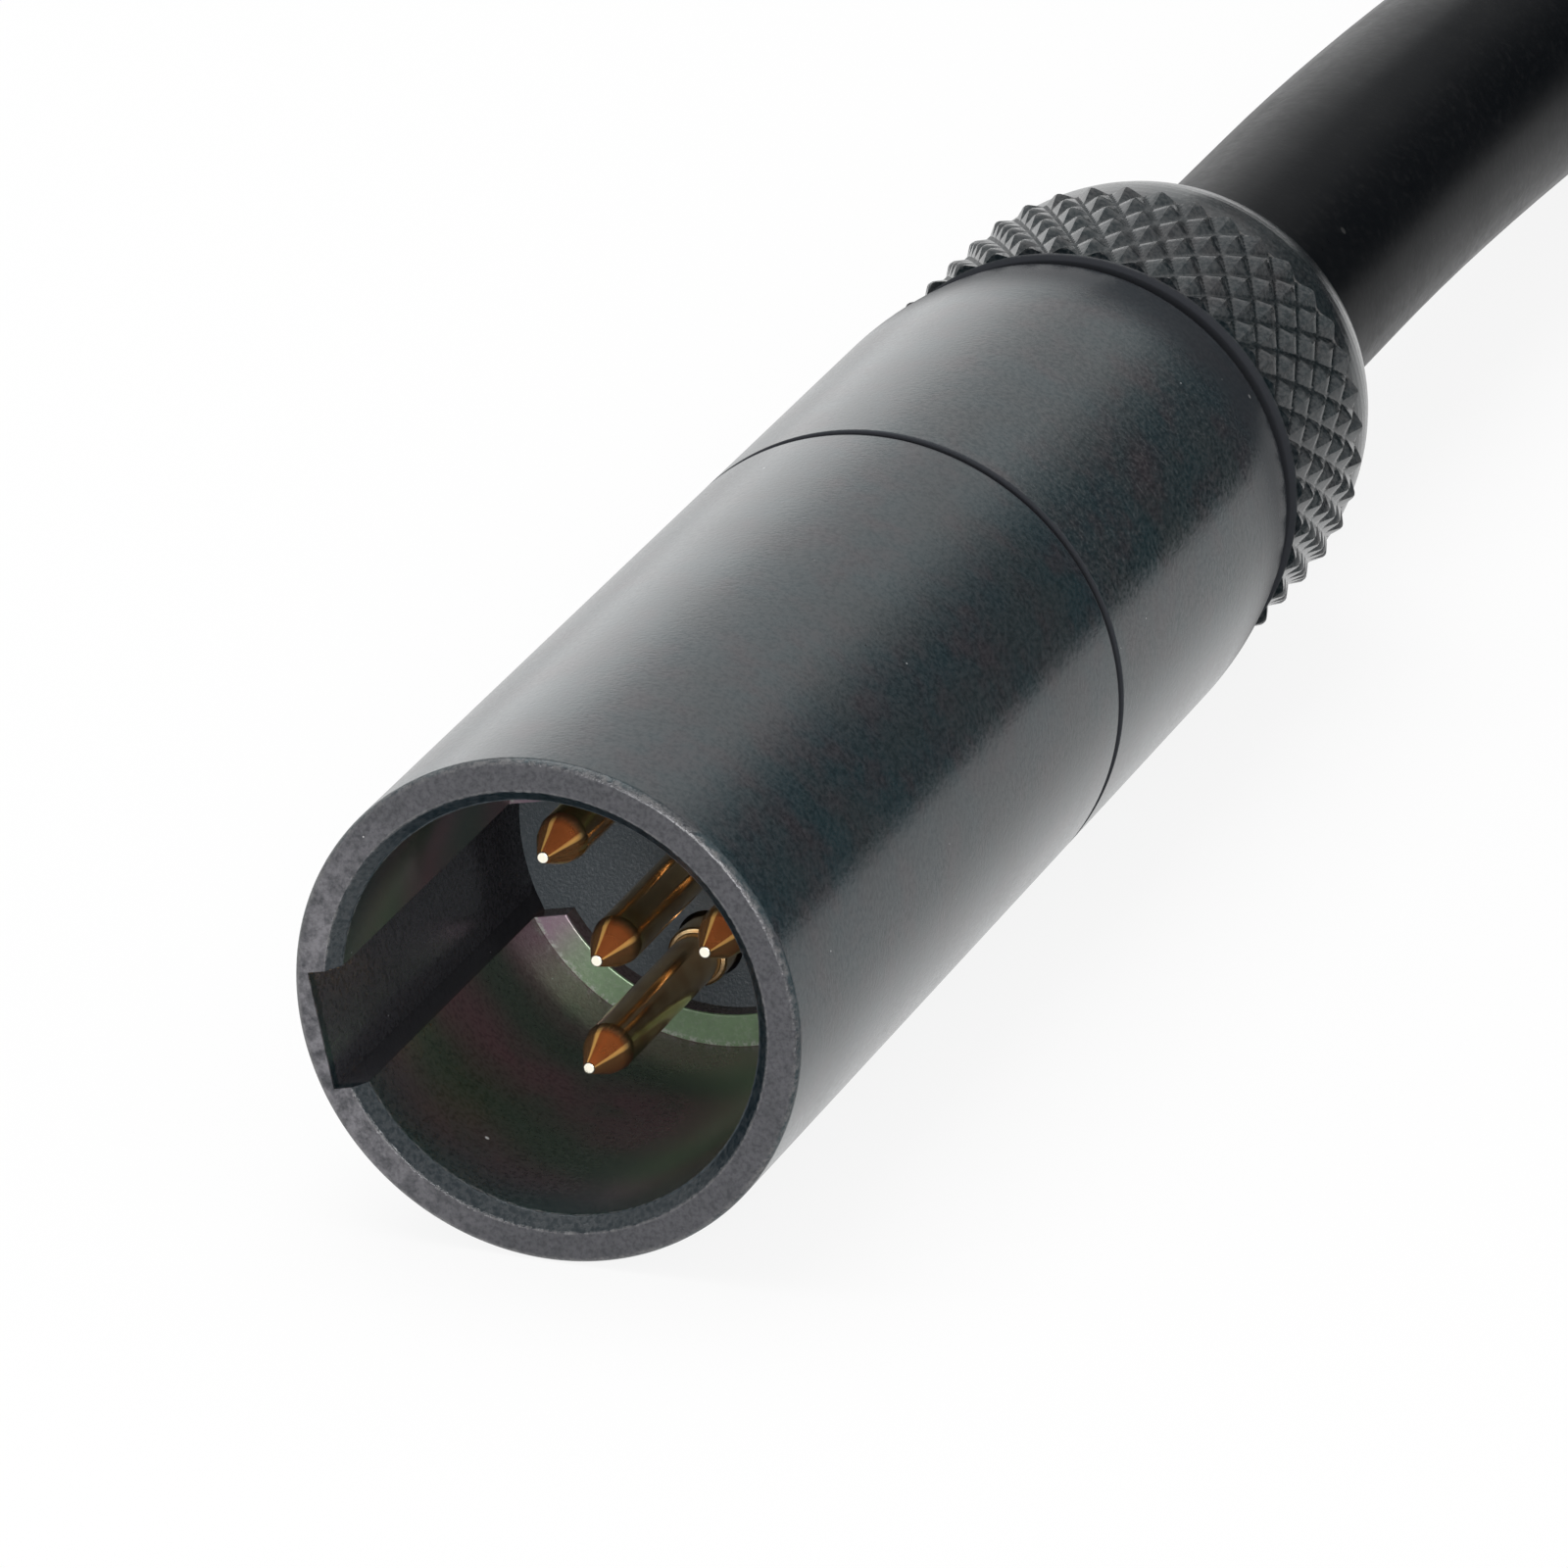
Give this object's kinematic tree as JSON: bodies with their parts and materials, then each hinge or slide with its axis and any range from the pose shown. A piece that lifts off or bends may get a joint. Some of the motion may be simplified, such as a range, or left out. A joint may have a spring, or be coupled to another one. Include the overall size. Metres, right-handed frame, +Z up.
{
  "type": "mini XLR cable",
  "caption": "Short round cable with a black four contact mini XLR plug at each end: keyed front shell with gold contacts, rear barrel, collet and knurled clamping nut.",
  "frame": {"origin": "centre of the near plug's mating mouth, on the plug's axis in the plane of the rim", "axes": "+Y along the near plug's axis towards its cable, +Z up, mating mouth towards -Y"},
  "size_m": [0.0742, 0.1491, 0.0114],
  "materials": {
    "shell_finish": "black oxide on turned brass, satin",
    "barrel_finish": "black oxide on turned brass, satin",
    "nut_finish": "black oxide on knurled brass, satin",
    "insulator_plastic": "moulded, fine grain",
    "gold_plate": "polished gold plate",
    "solder": "bright solder",
    "sleeve_plastic": "thin moulded liner",
    "collet_plastic": "moulded, satin",
    "wire_white": "smooth insulation",
    "wire_red": "smooth insulation",
    "wire_black": "smooth insulation",
    "wire_blue": "smooth insulation",
    "cable_jacket": "smooth satin jacket"
  },
  "bodies": {
    "plug_and_cable": {"cable": "cable_jacket", "cable_coil": "cable_jacket", "cable_tail": "cable_jacket", "contact_pin_1": "gold_plate", "contact_pin_2": "gold_plate", "contact_pin_3": "gold_plate", "contact_pin_4": "gold_plate", "far_contact_pin_1": "gold_plate", "far_contact_pin_2": "gold_plate", "far_contact_pin_3": "gold_plate", "far_contact_pin_4": "gold_plate", "far_insulating_sleeve": "sleeve_plastic", "far_insulator": "insulator_plastic", "far_mating_shell": "shell_finish", "far_rear_barrel": "barrel_finish", "far_solder_joints": "solder", "far_wire_1": "wire_white", "far_wire_2": "wire_red", "far_wire_3": "wire_black", "far_wire_4": "wire_blue", "insulating_sleeve": "sleeve_plastic", "insulator": "insulator_plastic", "mating_shell": "shell_finish", "rear_barrel": "barrel_finish", "solder_joints": "solder", "wire_1": "wire_white", "wire_2": "wire_red", "wire_3": "wire_black", "wire_4": "wire_blue"},
    "collet": {"cable_collet": "collet_plastic"},
    "nut": {"knurled_nut": "nut_finish"},
    "far_collet": {"far_cable_collet": "collet_plastic"},
    "far_nut": {"far_knurled_nut": "nut_finish"}
  },
  "joints": [
    {"name": "collet_slide", "type": "slide", "parent": "plug_and_cable", "child": "collet", "axis": [0, 1, 0], "range_m": [0, 0.003]},
    {"name": "nut_turn", "type": "hinge", "parent": "collet", "child": "nut", "pos_m": [0, 0.035, 0], "axis": [0, 1, 0], "range_deg": [0, 1440]},
    {"name": "far_collet_slide", "type": "slide", "parent": "plug_and_cable", "child": "far_collet", "axis": [0, 1, 0], "range_m": [0, 0.003]},
    {"name": "far_nut_turn", "type": "hinge", "parent": "far_collet", "child": "far_nut", "pos_m": [0.064, 0.051, 0], "axis": [0, 1, 0], "range_deg": [0, 1440]}
  ],
  "couplings": [
    {"joint": "nut_turn", "follows": "collet_slide", "rad_per_m": 8377.6},
    {"joint": "far_nut_turn", "follows": "far_collet_slide", "rad_per_m": 8377.6}
  ]
}
